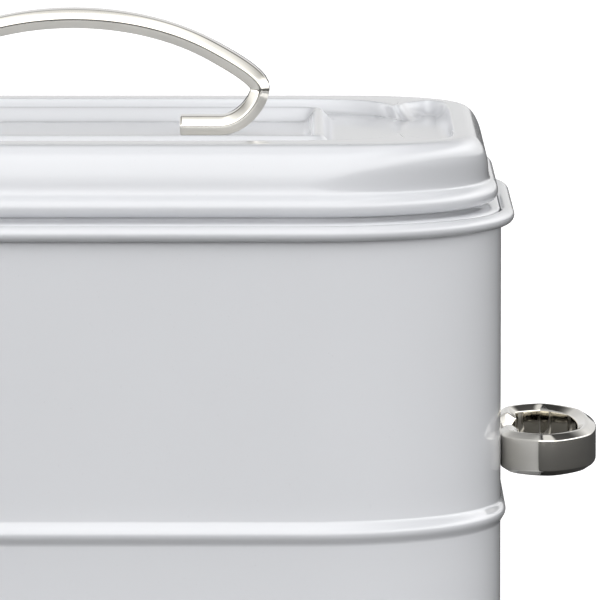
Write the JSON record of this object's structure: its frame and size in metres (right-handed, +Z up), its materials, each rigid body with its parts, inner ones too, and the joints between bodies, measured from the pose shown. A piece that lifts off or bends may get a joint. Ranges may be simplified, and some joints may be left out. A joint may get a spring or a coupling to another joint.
{
  "type": "bread bin",
  "caption": "Rounded rectangular steel bread bin with rolled rim, lift-off pressed lid and bright metal bow handles.",
  "frame": {"origin": "on the floor under the middle of the bin", "axes": "+X along the bin's length to the right-hand handle, -Y to the front, +Z up through the lid"},
  "size_m": [0.3448, 0.2146, 0.2415],
  "materials": {
    "enamel": "smooth glossy pale grey paint on steel sheet",
    "bright_metal": "polished bright plating",
    "zinc_steel": "plain zinc-plated steel"
  },
  "bodies": {
    "tub": {"tub_wall": "enamel", "tub_base": "enamel", "right_handle": "bright_metal", "left_handle": "bright_metal", "right_front_screw": "zinc_steel", "right_back_screw": "zinc_steel", "left_front_screw": "zinc_steel", "left_back_screw": "zinc_steel", "right_front_washer": "zinc_steel", "right_back_washer": "zinc_steel", "left_front_washer": "zinc_steel", "left_back_washer": "zinc_steel"},
    "lid": {"lid_shell": "enamel", "lid_collar": "enamel", "top_handle": "bright_metal", "top_right_screw": "zinc_steel", "top_left_screw": "zinc_steel", "top_right_washer": "zinc_steel", "top_left_washer": "zinc_steel"}
  },
  "joints": [
    {"name": "lid_lift", "type": "slide", "parent": "tub", "child": "lid", "axis": [0, 0, 1], "range_m": [0, 0.12]}
  ]
}
